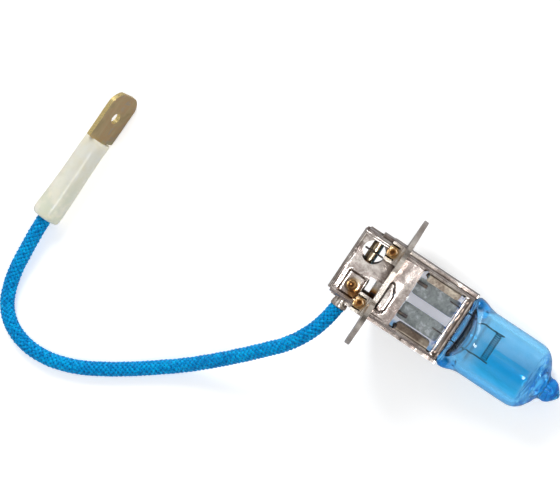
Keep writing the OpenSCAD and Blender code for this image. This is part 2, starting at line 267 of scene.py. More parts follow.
# ---- mesh tools
def clamp(x, low=0.0, high=1.0):
    return max(low, min(high, x))


def smooth(x, low, high):
    """Rises smoothly from 0 at low to 1 at high."""
    t = clamp((x - low) / (high - low))
    return t * t * (3 - 2 * t)


def plateau(x, rise, fall):
    """1 between two slopes and 0 outside them; each slope is a pair of limits."""
    return smooth(x, *rise) * (1 - smooth(x, *fall))


def lerp(a, b, t):
    return a + (b - a) * t


def lump(x, y, z):
    """Smooth random height, the same each time for the same place."""
    return noise.noise(Vector((x, y, z)))


def turn_steps(count):
    """Angles of equal steps round a circle."""
    return [2 * pi * k / count for k in range(count)]


def rectangle(x0, x1, y0, y1):
    return [(x0, y0), (x1, y0), (x1, y1), (x0, y1)]


def disc(x, y, r):
    return [(x + r * cos(a), y + r * sin(a)) for a in turn_steps(40)]


def rounded(points, radius, steps=3):
    """Closed outline with its corners rounded; radius is one number or one for each corner."""
    out = []
    n = len(points)
    for i, p in enumerate(points):
        r = radius[i] if isinstance(radius, (list, tuple)) else radius
        p = Vector(p)
        a = Vector(points[i - 1]) - p
        b = Vector(points[(i + 1) % n]) - p
        r = min(r, 0.45 * a.length, 0.45 * b.length)
        if r < 1e-3:
            out.append(p)
            continue
        start, end = p + a.normalized() * r, p + b.normalized() * r
        for k in range(steps + 1):
            t = k / steps
            out.append((1 - t) ** 2 * start + 2 * t * (1 - t) * p + t * t * end)
    return out


def path_length(path):
    return sum((b - a).length for a, b in zip(path, path[1:]))


def spline(points, step, per_span=24):
    """Points a step apart along a smooth curve through the given ones (centripetal Catmull-Rom)."""
    pts = [Vector(p) for p in points]
    pts = [2 * pts[0] - pts[1]] + pts + [2 * pts[-1] - pts[-2]]
    fine = []
    for i in range(1, len(pts) - 2):
        p0, p1, p2, p3 = pts[i - 1:i + 3]
        d1, d2, d3 = (max((b - a).length, 1e-9) ** 0.5 for a, b in ((p0, p1), (p1, p2), (p2, p3)))
        m1 = d2 * ((p1 - p0) / d1 - (p2 - p0) / (d1 + d2) + (p2 - p1) / d2)
        m2 = d2 * ((p2 - p1) / d2 - (p3 - p1) / (d2 + d3) + (p3 - p2) / d3)
        for k in range(per_span):
            t = k / per_span
            fine.append((2 * t**3 - 3 * t**2 + 1) * p1 + (t**3 - 2 * t**2 + t) * m1
                        + (3 * t**2 - 2 * t**3) * p2 + (t**3 - t**2) * m2)
    fine.append(pts[-2])
    total = path_length(fine)
    count = max(2, round(total / step))
    out = [fine[0]]
    travelled = 0
    for a, b in zip(fine, fine[1:]):
        length = (b - a).length
        while len(out) < count and travelled + length >= total * len(out) / count:
            out.append(a.lerp(b, (total * len(out) / count - travelled) / length))
        travelled += length
    out.append(fine[-1])
    return out


def profile(points, step):
    """Smooth curve through (along, radius) points, as points of the same kind."""
    return [(p.x, p.y) for p in spline([(along, radius, 0) for along, radius in points], step)]


def frames_along(path):
    """Each point with its tangent and two cross directions, which turn as little as they can."""
    out = []
    side = None
    for i, point in enumerate(path):
        tangent = (path[min(i + 1, len(path) - 1)] - path[max(i - 1, 0)]).normalized()
        if side is None:
            helper = Vector((0, 0, 1)) if abs(tangent.z) < 0.9 else Vector((1, 0, 0))
            side = tangent.cross(helper).normalized()
        side = (side - tangent * side.dot(tangent)).normalized()
        out.append((point, tangent, side, tangent.cross(side)))
    return out


def link(name, mesh, materials, slot, body="root", stands_for=(), crease=40):
    """Object from a mesh in the row frame, riding on a body."""
    obj = bpy.data.objects.new(name, mesh)
    scene.collection.objects.link(obj)
    for material in materials:
        mesh.materials.append(material)
    for polygon in mesh.polygons:
        polygon.use_smooth = True
    mesh.set_sharp_from_angle(angle=radians(crease))
    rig.slot(obj, slot)
    if stands_for:
        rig.replaces(obj, *stands_for)
    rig.ride(obj, body)
    return obj


def add_bevel(obj, width, angle):
    """Rounds the edges that turn by more than an angle in degrees."""
    edges = obj.modifiers.new("edges", "BEVEL")
    edges.width = width * MM
    edges.segments = 2
    edges.limit_method = "ANGLE"
    edges.angle_limit = radians(angle)
    edges.harden_normals = True


class Build:
    """Vertices and faces of one piece, gathered part by part."""

    def __init__(self):
        self.verts = []
        self.faces = []
        self.mats = []

    def rings(self, rings, mat=0, closed=False):
        """Skin over equal rings of points, capped at both ends or closed into a loop."""
        n = len(rings[0])
        first = len(self.verts)
        faces = []
        for i in range(len(rings) if closed else len(rings) - 1):
            a, b = i * n, ((i + 1) % len(rings)) * n
            faces += [[a + k, a + (k + 1) % n, b + (k + 1) % n, b + k] for k in range(n)]
        if not closed:
            end = (len(rings) - 1) * n
            faces += [list(range(n - 1, -1, -1)), [end + k for k in range(n)]]
        self.verts += [Vector(p) for ring in rings for p in ring]
        self.faces += [[first + i for i in face] for face in faces]
        self.mats += [mat] * len(faces)

    def turned(self, outline, sides, centre=(0, 0), axis="y", wobble=lambda along, angle: 1):
        """Outline of (along, radius) points turned about a line along an axis; centre is its place."""
        rings = []
        for along, radius in outline:
            ring = []
            for a in turn_steps(sides):
                r = max(radius, 1e-4) * wobble(along, a)
                point = [centre[0] + r * cos(a), centre[1] + r * sin(a)]
                point.insert("xyz".index(axis), along)
                ring.append(point)
            rings.append(ring)
        self.rings(rings)

    def tube(self, path, radius, sides, mat=0):
        """Round tube along a path; radius is a number or a function of the share of the way along."""
        rings = []
        for i, (point, _, side, up) in enumerate(frames_along(path)):
            r = radius(i / (len(path) - 1)) if callable(radius) else radius
            rings.append([point + r * (cos(a) * side + sin(a) * up) for a in turn_steps(sides)])
        self.rings(rings, mat)

    def piece(self, name, materials, slot, matrix=LAMP, hollow=None, **rest):
        """Links what was built; faces of the material whose number is hollow line a cavity."""
        mesh = bpy.data.meshes.new(name)
        mesh.from_pydata([matrix @ v for v in self.verts], [], self.faces)
        mesh.polygons.foreach_set("material_index", self.mats)
        work = bmesh.new()
        work.from_mesh(mesh)
        bmesh.ops.recalc_face_normals(work, faces=work.faces)
        if hollow is not None:
            lining = [f for f in work.faces if f.material_index == hollow]
            bmesh.ops.reverse_faces(work, faces=lining)
        work.to_mesh(mesh)
        work.free()
        return link(name, mesh, materials, slot, **rest)


def flat_sheet(outline, holes, pitch):
    """Flat bmesh of an outline with holes, cut into a grid so that it can be bent and embossed."""
    curve = bpy.data.curves.new("pattern", "CURVE")
    curve.dimensions = "2D"
    curve.fill_mode = "BOTH"
    for loop in [outline] + holes:
        s = curve.splines.new("POLY")
        s.points.add(len(loop) - 1)
        for point, (x, y) in zip(s.points, loop):
            point.co = (x, y, 0, 1)
        s.use_cyclic_u = True
    holder = bpy.data.objects.new("pattern", curve)
    mesh = bpy.data.meshes.new_from_object(holder)
    sheet = bmesh.new()
    sheet.from_mesh(mesh)
    bpy.data.objects.remove(holder)
    bpy.data.curves.remove(curve)
    bpy.data.meshes.remove(mesh)
    bmesh.ops.remove_doubles(sheet, verts=sheet.verts, dist=1e-5)
    for axis in (0, 1):
        low = min(v.co[axis] for v in sheet.verts)
        high = max(v.co[axis] for v in sheet.verts)
        count = int((high - low) / pitch)
        normal = Vector((0, 0, 0))
        normal[axis] = 1
        for i in range(1, count):
            at = normal * (low + (high - low) * i / count)
            geometry = sheet.verts[:] + sheet.edges[:] + sheet.faces[:]
            bmesh.ops.bisect_plane(sheet, geom=geometry, dist=1e-5, plane_co=at, plane_no=normal)
    bmesh.ops.recalc_face_normals(sheet, faces=sheet.faces)
    if sum(f.normal.z * f.calc_area() for f in sheet.faces) < 0:
        bmesh.ops.reverse_faces(sheet, faces=sheet.faces)
    return sheet


def pressed(name, outline, holes, place, materials, slot, matrix=LAMP, thickness=SHEET, pitch=0.2,
            flip=False, stands_for=(), bevel=0.07):
    """Sheet-metal piece: a flat pattern, placed by a function of its two coordinates, then thickened."""
    sheet = flat_sheet(outline, holes, pitch)
    for v in sheet.verts:
        v.co = matrix @ Vector(place(v.co.x, v.co.y))
    if flip:
        bmesh.ops.reverse_faces(sheet, faces=sheet.faces)
    mesh = bpy.data.meshes.new(name)
    sheet.to_mesh(mesh)
    sheet.free()
    obj = link(name, mesh, materials, slot, stands_for=stands_for, crease=35)
    thick = obj.modifiers.new("thickness", "SOLIDIFY")
    thick.thickness = thickness * MM
    thick.offset = -1
    thick.use_quality_normals = True
    thick.material_offset_rim = len(materials) - 1
    add_bevel(obj, bevel, 50)


# ---- material tools
class Nodes:
    """A node tree; most methods add a node and return its output."""

    def __init__(self, tree):
        self.tree = tree
        self.coordinates = self.node("ShaderNodeTexCoord").outputs
        self.place = self.coordinates["Object"]

    def node(self, kind, **settings):
        made = self.tree.nodes.new(kind)
        for key, value in settings.items():
            setattr(made, key, value)
        return made

    def join(self, source, target):
        if hasattr(source, "is_output"):
            self.tree.links.new(source, target)
        else:
            target.default_value = source

    def feed(self, node, **values):
        """Joins values to inputs that are named with _ for a space."""
        for key, value in values.items():
            self.join(value, node.inputs[key.replace("_", " ")])

    def operate(self, node, kind, a, b):
        made = self.node(node, operation=kind)
        self.join(a, made.inputs[0])
        self.join(b, made.inputs[1])
        return made.outputs

    def math(self, kind, a, b=0.0):
        return self.operate("ShaderNodeMath", kind, a, b)[0]

    def vector(self, kind, a, b, output="Value"):
        return self.operate("ShaderNodeVectorMath", kind, a, b)[output]

    def product(self, first, *others):
        for other in others:
            first = self.math("MULTIPLY", first, other)
        return first

    def level(self, fac, low, high, start=0.0, end=1.0):
        """Maps start..end of a value smoothly to low..high."""
        made = self.node("ShaderNodeMapRange", interpolation_type="SMOOTHSTEP")
        self.feed(made, Value=fac, From_Min=start, From_Max=end, To_Min=low, To_Max=high)
        return made.outputs["Result"]

    def rise(self, fac, start, end):
        return self.level(fac, 0, 1, start, end)

    def fall(self, fac, start, end):
        return self.level(fac, 1, 0, start, end)

    def between(self, fac, rise, fall):
        """1 between two slopes and 0 outside them; each slope is a pair of limits."""
        return self.product(self.rise(fac, *rise), self.fall(fac, *fall))

    def noise(self, scale, detail=3, rough=0.55, distortion=0.0, turn=(0, 0, 0)):
        """Noise of one scale, or of one for each axis for grain that runs along a turned axis."""
        where = self.place
        if isinstance(scale, tuple):
            mapping = self.node("ShaderNodeMapping")
            self.feed(mapping, Vector=where, Scale=scale, Rotation=turn)
            where, scale = mapping.outputs["Vector"], 1
        made = self.node("ShaderNodeTexNoise")
        self.feed(made, Vector=where, Scale=scale, Detail=detail, Roughness=rough, Distortion=distortion)
        return made.outputs["Fac"]

    def ramp(self, fac, stops, kind="EASE"):
        made = self.node("ShaderNodeValToRGB")
        made.color_ramp.interpolation = kind
        elements = made.color_ramp.elements
        while len(elements) < len(stops):
            elements.new(0.5)
        for element, (at, colour) in zip(elements, stops):
            element.position = at
            element.color = (*colour, 1)
        self.join(fac, made.inputs["Fac"])
        return made.outputs["Color"]

    def mix(self, fac, a, b, kind="MIX"):
        made = self.node("ShaderNodeMix", data_type="RGBA", blend_type=kind)
        self.join(fac, made.inputs[0])
        self.join(a if hasattr(a, "is_output") else (*a, 1), made.inputs[6])
        self.join(b if hasattr(b, "is_output") else (*b, 1), made.inputs[7])
        return made.outputs[2]

    def tinted(self, colour, tint):
        return self.mix(1.0, colour, tint, "MULTIPLY")

    def bump(self, height, depth, strength=1.0, after=None):
        """Relief of a depth in millimetres, laid over the relief called after."""
        made = self.node("ShaderNodeBump")
        self.feed(made, Height=height, Distance=depth * MM, Strength=strength)
        if after is not None:
            self.join(after, made.inputs["Normal"])
        return made.outputs["Normal"]

    def crevice_shade(self, reach, dark=(0.1, 0.08, 0.07)):
        """Painted shade in corners and seams, within a reach in millimetres."""
        made = self.node("ShaderNodeAmbientOcclusion", samples=8)
        self.feed(made, Distance=reach * MM)
        return self.ramp(made.outputs["AO"], [(0.3, dark), (0.62, (0.62, 0.58, 0.55)), (0.9, (1, 1, 1))])

    def nearest(self, points):
        """Distance to the nearest of some points, in millimetres."""
        result = None
        for point in points:
            distance = self.vector("DISTANCE", self.place, point)
            result = distance if result is None else self.math("MINIMUM", result, distance)
        return self.product(result, 1 / MM)

    def along(self, direction, origin=(0, 0, 0)):
        """Distance along a direction from a point, in millimetres."""
        shifted = self.vector("SUBTRACT", self.place, origin, "Vector")
        return self.product(self.vector("DOT_PRODUCT", shifted, direction), 1 / MM)


class Finish(Nodes):
    """One node material."""

    def __init__(self, name):
        self.material = bpy.data.materials.new(name)
        self.material.use_nodes = True
        super().__init__(self.material.node_tree)

    def done(self, **values):
        """Sets the shader's inputs and hands back the material."""
        self.feed(self.tree.nodes["Principled BSDF"], **values)
        return self.material


# ---- finishes
# Positions that a finish depends on are millimetres along the lamp's axis (x) or side (y).
QUARTZ = dict(Transmission_Weight=1.0, IOR=1.4, Specular_IOR_Level=0.3)


def heat_tint(f, colour, spots, reach, core):
    """Burnt centre, amber ring and straw halo round weld spots, laid over a colour."""
    wobble = f.product(f.noise(1700, 3, 0.6), 0.55)
    distance = f.math("ADD", f.nearest([LAMP @ Vector(s) for s in spots]), wobble)
    burn = f.ramp(f.rise(distance, core, reach),
                  [(0.0, (0.12, 0.055, 0.025)), (0.25, (0.38, 0.18, 0.06)), (0.48, (0.82, 0.54, 0.25)),
                   (0.72, (0.97, 0.87, 0.7)), (1.0, (1, 1, 1))])
    return f.tinted(colour, burn)


def tab_tint_and_groove_shade(f, colour):
    """Painted shade in the front groove and a straw cast on the window's tabs."""
    x = f.along(lamp_axis)
    y = f.math("ABSOLUTE", f.along(lamp_side))
    groove = f.product(f.between(x, (11.08, 11.2), (11.62, 11.75)), f.fall(y, 5.1, 5.4))
    # painted shade: the front groove is darkened to brown
    colour = f.mix(groove, colour, (0.17, 0.135, 0.115))
    tabs = f.product(f.between(y, (TAB_TIP - 0.1, TAB_TIP + 0.1), (WINDOW_HALF - 0.2, WINDOW_HALF)),
                     f.between(x, (TAB_X[0] - 0.2, TAB_X[0] + 0.1), (TAB_X[1] - 0.2, TAB_X[1] + 0.1)))
    return f.mix(tabs, colour, f.tinted(colour, (0.97, 0.93, 0.82)))


def rolled_off(f):
    """Rear of a shell falls away towards its corner next to the flange, as pressed sheet does."""
    way = (LAMP.to_3x3() @ Vector(ROLL_WAY)).normalized()
    run = f.math("MAXIMUM", f.along(way, LAMP @ Vector(ROLL_START)), 0.0)
    behind_flange = f.fall(f.along(lamp_axis), -FLANGE_T, 0)
    return f.bump(f.product(run, run, behind_flange, -1.0), ROLL_OFF)


def plated(name, pale, dull, roughness, wave, scale=330, tint=(), marks_and_groove_shade=False):
    """Bright pressed sheet: cloudy plating, fine pits, drawing marks, faint waves, weld tints and painted crevice
    shade.
    """
    f = Finish(name)
    cloud = f.noise(scale, 4, 0.6)
    mottle = f.noise(2300, 3, 0.65)
    patches = f.math("ADD", f.product(cloud, 0.7), f.product(mottle, 0.3))
    colour = f.ramp(patches, [(0.38, pale), (0.62, dull)])
    if tint:
        colour = heat_tint(f, colour, *tint)
    # painted shade in the front groove, and the tabs' straw cast
    if marks_and_groove_shade:
        colour = tab_tint_and_groove_shade(f, colour)
    grit = f.math("ADD", cloud, f.product(mottle, 0.5))
    waves = f.bump(f.noise(260, 2, 0.5), wave, after=rolled_off(f) if marks_and_groove_shade else None)
    pits = f.bump(f.noise(5200, 3, 0.6), 0.006, 0.6, after=waves)
    drawn = f.noise((900, 7000, 900), 2, 0.5, turn=(0, 0, 0.2))
    # the colour is darkened by painted shade in crevices
    return f.done(
        Base_Color=f.tinted(colour, f.crevice_shade(0.9)), Metallic=1.0,
        Roughness=f.level(grit, roughness * 0.75, roughness * 1.5, 0.5, 1.0),
        Normal=f.bump(drawn, 0.003, 0.5, after=pits))


def simple(name, noises, stops, rough, relief, grit=(), bumps=(), tint=(), seam_shade=(), **more):
    """Finish coloured by one noise or two, each a share and its settings. Roughness follows the noise grit
    or else the first one, and relief follows bumps or else the same as roughness."""
    f = Finish(name)
    outputs = [f.noise(*settings) for _, settings in noises]
    shares = [f.product(output, share) for output, (share, _) in zip(outputs, noises)]
    colour = f.ramp(shares[0] if len(shares) == 1 else f.math("ADD", *shares), stops)
    if tint:
        colour = heat_tint(f, colour, *tint)
    # painted shade in seams and corners
    if seam_shade:
        colour = f.tinted(colour, f.crevice_shade(*seam_shade))
    rough_by = f.noise(*grit) if grit else outputs[0]
    relief_by = f.noise(*bumps) if bumps else rough_by
    return f.done(
        Base_Color=colour, Roughness=f.level(rough_by, *rough), Normal=f.bump(relief_by, *relief), **more)


def coated_quartz():
    """Clear quartz whose blue coating starts at the shoulders and is deeper blue in a band and at the tip; painted
    shade in the neck, under it, along one edge and in streaks at the nose, and a faint painted glow, strongest at the
    shoulders.
    """
    f = Finish("coated_quartz")
    x = f.along(lamp_axis)
    y = f.along(lamp_side)
    cloud = f.noise(420, 3, 0.5)
    pinch_end = f.rise(x, 12.0, 12.3)
    # past the pinch, the uncoated neck is painted dark grey as shade
    bare = f.mix(pinch_end, (0.86, 0.88, 0.97), (0.27, 0.3, 0.4))
    sky = f.ramp(cloud, [(0.35, (0.15, 0.49, 0.76)), (0.65, (0.22, 0.54, 0.79))])
    coated = f.rise(f.math("ADD", x, f.product(cloud, 1.2)), 13.6, 15.4)
    colour = f.mix(coated, bare, sky)
    # painted shade under the neck
    underside_shade = f.product(f.fall(f.along(lamp_top), -0.8, 0.0), pinch_end, f.fall(x, 14.6, 16.2))
    band = f.product(f.between(y, (-3.9, -3.3), (0.2, 0.5)), f.between(x, (15.5, 18.5), (24.6, 25.6)), 0.93)
    # painted shade along the tube's edge on the -y side
    rim = f.level(y, 0.75, 0, -4.6, -3.6)
    tip = f.rise(x, 26.6, 27.8)
    # painted shade: dark streaks across the nose
    shade_streak_noise = f.noise((1900, 330, 330), 3, 0.6)
    streak_shade = f.product(f.rise(shade_streak_noise, 0.47, 0.55), f.rise(x, 25.3, 26.3))
    # painted glow at the shoulders: deep blue in place of the dark reflections of the shells, and extra emission
    shoulder_glow = f.product(f.between(x, (12.3, 12.9), (14.0, 15.2)), f.rise(f.math("ABSOLUTE", y), 4.7, 5.5))
    drips = f.product(f.rise(f.noise(900, 3, 0.6), 0.56, 0.62), f.between(x, (9.4, 10.8), (12.4, 12.9)))
    for where, tint in ((underside_shade, (0.12, 0.15, 0.24)), (band, (0.0, 0.42, 0.78)),
                        (rim, (0.07, 0.4, 0.78)), (tip, (0.012, 0.26, 0.66)), (streak_shade, (0.002, 0.09, 0.42)),
                        (shoulder_glow, (0.01, 0.26, 0.66)), (drips, (0.015, 0.13, 0.5))):
        colour = f.mix(where, colour, tint)
    crumple = f.product(f.noise((500, 900, 900), 2, 0.4), f.rise(x, 26.0, 27.2))
    swell = f.bump(f.noise(420, 2, 0.4), 0.012, 0.2)
    # painted glow: the coating emits a faint light, more at the shoulders
    glow = f.math("ADD", 0.05, f.product(shoulder_glow, 0.3))
    return f.done(
        Base_Color=colour, Roughness=f.level(cloud, 0.0, 0.003),
        Normal=f.bump(crumple, 0.05, 0.6, after=swell),
        Emission_Color=f.mix(shoulder_glow, (0.02, 0.3, 0.62), (0.0, 0.2, 0.62)),
        Emission_Strength=f.product(coated, glow), **QUARTZ)


def clear_quartz():
    """Wall of the cavity, darker grey towards the pinch."""
    f = Finish("clear_quartz")
    depth = f.math("ADD", f.along(lamp_axis), f.product(f.noise(500, 3, 0.6), 0.5))
    colour = f.ramp(f.rise(depth, 13.2, 15.2), [(0.0, (0.36, 0.39, 0.5)), (0.45, (0.46, 0.5, 0.62)),
                                                (0.6, (0.8, 0.8, 0.93)), (0.85, (0.97, 0.985, 0.995))])
    return f.done(
        Base_Color=colour, Roughness=f.level(f.noise(700, 2), 0.0, 0.002),
        Normal=f.bump(f.noise((200, 700, 700), 2, 0.5), 0.004, 0.12), **QUARTZ)


def boot_rubber():
    """Translucent cream sleeve, a little cloudy, greener at its tail, with moulding ripples."""
    f = Finish("boot_rubber")
    cloud = f.noise(330, 4, 0.6)
    speck = f.noise(3600, 3, 0.6)
    cream = f.mix(f.rise(f.along(blade_way, term_origin), -13, -3), (0.74, 0.75, 0.6), (0.9, 0.83, 0.62))
    ripples = f.bump(f.noise(240, 2, 0.5), 0.12, 0.6)
    return f.done(
        Base_Color=f.mix(f.rise(cloud, 0.4, 0.62), cream, (0.92, 0.87, 0.69)),
        Roughness=f.level(cloud, 0.3, 0.46), Normal=f.bump(speck, 0.01, 0.6, after=ripples),
        Subsurface_Weight=0.6, Subsurface_Radius=(1.0, 0.85, 0.6), Subsurface_Scale=0.0016,
        Specular_IOR_Level=0.5, Coat_Weight=0.35, Coat_Roughness=0.16)


def blade_face():
    """Rolled brass, browned by handling, with faint violet and amber staining."""
    f = Finish("blade_brass")
    cloud = f.noise(300, 4, 0.62, distortion=0.4)
    grain = f.noise((900, 160, 900), 3, 0.6)
    colour = f.ramp(cloud, [
        (0.36, (0.52, 0.41, 0.22)), (0.48, (0.6, 0.47, 0.26)), (0.56, (0.62, 0.44, 0.24)),
        (0.64, (0.52, 0.45, 0.34)), (0.72, (0.48, 0.47, 0.28))])
    colour = f.mix(f.level(grain, 0, 0.4, 0.45, 0.75), colour, (0.74, 0.6, 0.34))
    return f.done(
        Base_Color=colour, Metallic=0.8, Roughness=f.level(cloud, 0.26, 0.42),
        Normal=f.bump(grain, 0.005, after=f.bump(f.noise(420, 2), 0.04, 0.4)))


# shells: weld tints, painted crevice shade and painted shade in the front groove
SHELL_METAL = plated(
    "shell_metal", (0.76, 0.72, 0.68), (0.37, 0.31, 0.29), 0.14, wave=0.15, tint=(PAD_WELDS, 2.0, 0.42),
    marks_and_groove_shade=True)
FLANGE_METAL = plated(
    "flange_metal", (0.8, 0.76, 0.7), (0.56, 0.51, 0.46), 0.22, wave=0.012, tint=(EAR_WELDS, 1.9, 0.35))
WELD_TINT = plated(
    "weld_tint", (0.85, 0.8, 0.72), (0.66, 0.56, 0.44), 0.3, wave=0.09, scale=900,
    tint=(EAR_WELDS, 1.3, 0.38))
FERRULE_METAL = plated("ferrule_metal", (0.88, 0.84, 0.79), (0.56, 0.49, 0.44), 0.22, wave=0.02, scale=700)
TAB_METAL = simple(
    "tab_metal", [(1, (800, 3, 0.6))], [(0.35, (0.88, 0.86, 0.82)), (0.65, (0.74, 0.69, 0.62))],
    (0.2, 0.38), (0.006,), bumps=(4200, 3), tint=([TAB_WELD], 2.0, 0.35), Metallic=1.0)
# brass with painted shade in its seams and corners
BRASS_STRIP = simple(
    "brass_strip", [(1, (900, 3, 0.6))], [(0.35, (0.8, 0.7, 0.5)), (0.65, (0.5, 0.4, 0.28))],
    (0.12, 0.28), (0.005,), bumps=(3500, 3), seam_shade=(0.8,), Metallic=1.0)
BLADE_BRASS = blade_face()
SHEARED_BRASS = simple(
    "brass_edge", [(1, ((5200, 5200, 800), 3, 0.6))],
    [(0.35, (0.98, 0.84, 0.42)), (0.65, (0.86, 0.64, 0.25))], (0.2, 0.36), (0.008,), Metallic=0.9)
TUNGSTEN = simple(
    "tungsten", [(1, (6000, 4, 0.7))], [(0.3, (0.012, 0.013, 0.018)), (0.7, (0.05, 0.05, 0.06))],
    (0.3, 0.5), (0.006,), Metallic=1.0)
LEAD_WIRE = simple(
    "lead_wire", [(1, (700, 3, 0.6))],
    [(0.35, (0.06, 0.055, 0.06)), (0.52, (0.17, 0.14, 0.12)), (0.7, (0.4, 0.28, 0.17))], (0.24, 0.45),
    (0.008,), grit=((350, 5200, 5200), 3, 0.6), Metallic=1.0)
# Thin molybdenum foil, crinkled where the quartz has gripped it
FOIL = simple(
    "foil", [(0.6, (1500, 5, 0.68, 0.6)), (0.4, (520, 3, 0.6))],
    [(0.36, (0.17, 0.2, 0.18)), (0.5, (0.36, 0.39, 0.36)), (0.62, (0.72, 0.75, 0.72))], (0.35, 0.6),
    (0.06, 0.8), Metallic=0.55)
COPPER = simple(
    "copper", [(1, ((4200, 500, 4200), 2, 0.5))], [(0.3, (0.5, 0.2, 0.09)), (0.7, (0.88, 0.45, 0.26))],
    (0.25, 0.45), (0.03,), Metallic=1.0)
CORE_INSULATION = simple(
    "core_insulation", [(1, (900,))], [(0.35, (0.78, 0.76, 0.7)), (0.65, (0.66, 0.63, 0.56))], (0.4, 0.6),
    (0.02,))
# Glossy polyester yarn, with painted shade where the ribbons meet, over a core painted dark as the shade in the
# braid's gaps
BRAID_YARN = simple(
    "braid", [(0.8, (1900, 3, 0.55)), (0.2, (260, 2, 0.5))],
    [(0.36, (0.0005, 0.18, 0.5)), (0.5, (0.0005, 0.3, 0.72)), (0.62, (0.001, 0.46, 0.9))], (0.3, 0.5),
    (0.02, 0.6), grit=(9000, 2, 0.6), seam_shade=(0.35, (0.02, 0.06, 0.1)), Specular_IOR_Level=0.2,
    Specular_Tint=(0.3, 0.8, 1.0, 1))
# core of the braid, painted dark blue as the shade seen between the ribbons
BRAID_GAP_SHADE = simple(
    "braid_gap_shade", [(1, (5200, 3, 0.6))], [(0.35, (0.001, 0.03, 0.11)), (0.65, (0.002, 0.07, 0.22))],
    (0.8, 0.8), (0.03,))


# ---- lead
# The lead's route in metres: down from the ferrule, along the floor and up into the terminal.
LEAD_ROUTE = [
    LAMP @ Vector((FERRULE_X, -7.1, 0)),
    (-0.005, -0.0101, 0.0009), (-0.0061, -0.0131, 0.0003), (-0.0082, -0.0164, -0.001),
    (-0.011, -0.0194, -0.0027), (-0.0143, -0.0227, -0.0048), (-0.0178, -0.026, -0.0069),
    (-0.0213, -0.0291, -0.0085), (-0.0248, -0.0319, -0.0093), (-0.0282, -0.0345, -0.0095),
    (-0.0318, -0.037, -0.0095), (-0.036, -0.0394, -0.0095), (-0.0406, -0.0409, -0.0095),
    (-0.0448, -0.041, -0.0095), (-0.0483, -0.0398, -0.0095), (-0.0506, -0.0377, -0.0095),
    (-0.0519, -0.0348, -0.0094), (-0.0525, -0.0318, -0.0091), (-0.0527, -0.0286, -0.0087),
    (-0.0528, -0.0259, -0.0083),
    TERM @ Vector((0, -13.6, 0)), TERM @ Vector((0, -10.4, 0)), TERM @ Vector((0, -7.2, 0)),
]
CARRIERS = 8  # ribbons each way
BRAID_LAY = 6.2  # length of one turn of a ribbon
BRAID_R = 0.955
BRAID_WAVE = 0.13  # how far a ribbon rises and dips where it crosses others
RIBBON = (0.47, 0.27)  # width and thickness


def make_lead():
    """Braid of flat ribbons, eight each way, that pass over and under each other round a core painted dark as the
    shade between them.
    """
    path = [p / MM for p in spline(LEAD_ROUTE, 0.24 * MM)]
    frames = frames_along(path)
    lead = Build()
    # core painted dark as the shade seen between the ribbons
    lead.tube(path[::2] + [path[-1]], BRAID_R - 0.1, 24, mat=1)
    turn_rate = 2 * pi / BRAID_LAY
    for way in (1, -1):
        for start in turn_steps(CARRIERS):
            rings = []
            travelled = 0
            last = path[0]
            for point, tangent, side, up in frames:
                travelled += (point - last).length
                last = point
                angle = way * turn_rate * travelled + start
                lift = way * BRAID_WAVE * cos(CARRIERS * turn_rate * travelled)
                out = cos(angle) * side + sin(angle) * up
                lie = (tangent + way * turn_rate * BRAID_R * tangent.cross(out)).normalized()
                across = lie.cross(out)
                centre = point + (BRAID_R + lift) * out
                rings.append([centre + RIBBON[0] / 2 * cos(b) * across + RIBBON[1] / 2 * sin(b) * out
                              for b in turn_steps(8)])
            lead.rings(rings)
    obj = lead.piece("cable_braid", [BRAID_YARN, BRAID_GAP_SHADE], "braid", matrix=Matrix.Scale(MM, 4),
                     stands_for=("cable",), crease=60)
    return obj, [MM * p for p in path]


braid, lead_path = make_lead()


# ---- shells and flange
def bent(t):
    """Way outwards and downwards along a sheet that turns down through a right angle from t = 0."""
    arc = BEND * pi / 2
    if t <= 0:
        return t, 0
    if t < arc:
        return BEND * sin(t / BEND), BEND * (1 - cos(t / BEND))
    return BEND, BEND + t - arc


def inside_box(x, y, centre, half, soft, corner=0.5):
    """1 well inside a rounded box and 0 outside it, with a slope of the width called soft."""
    dx = abs(x - centre[0]) - half[0] + corner
    dy = abs(y - centre[1]) - half[1] + corner
    distance = hypot(max(dx, 0), max(dy, 0)) + min(max(dx, dy), 0) - corner
    return 1 - smooth(distance, -soft, 0)


def press_marks(u, v):
    """Height that the press gives the face of a shell, common to both shells."""
    height = -PAD_DEPTH * inside_box(u, v, PAD[:2], PAD[2:], 0.32)
    if TAB_X[0] <= u <= TAB_X[1] and TAB_TIP - 0.1 <= abs(v) <= WINDOW_HALF:
        height -= 0.06 + TAB_DROP * clamp((WINDOW_HALF - abs(v)) / (WINDOW_HALF - TAB_TIP))
    height -= 0.14 * plateau(u, *GROOVE) * (1 - smooth(abs(v), *GROOVE_END))
    height += 0.06 * lump(u * 0.3, v * 0.3, 3.7) - 0.04
    height -= CROWN * ((u - CROWN_X) ** 2 + v * v) * (1 - smooth(u, -1.2, 0))
    crater = hypot(u - PAD_WELDS[0][0], v - PAD_WELDS[0][1])
    height -= 0.1 * (1 - smooth(crater, 0.25, 0.6)) - 0.05 * exp(-((crater - 0.8) / 0.16) ** 2)
    return min(height, 0.0)


def upper_marks(u, v):
    """Press marks of the upper shell, which also has the stop bead, leaning at its inner end."""
    lean = 0.9 * smooth(v, -1.0, 0.9) * smooth(u, 0.1, 1.2)
    return press_marks(u, v) + 0.48 * inside_box(u + lean, v, *BEAD, 0.3, 0.7)


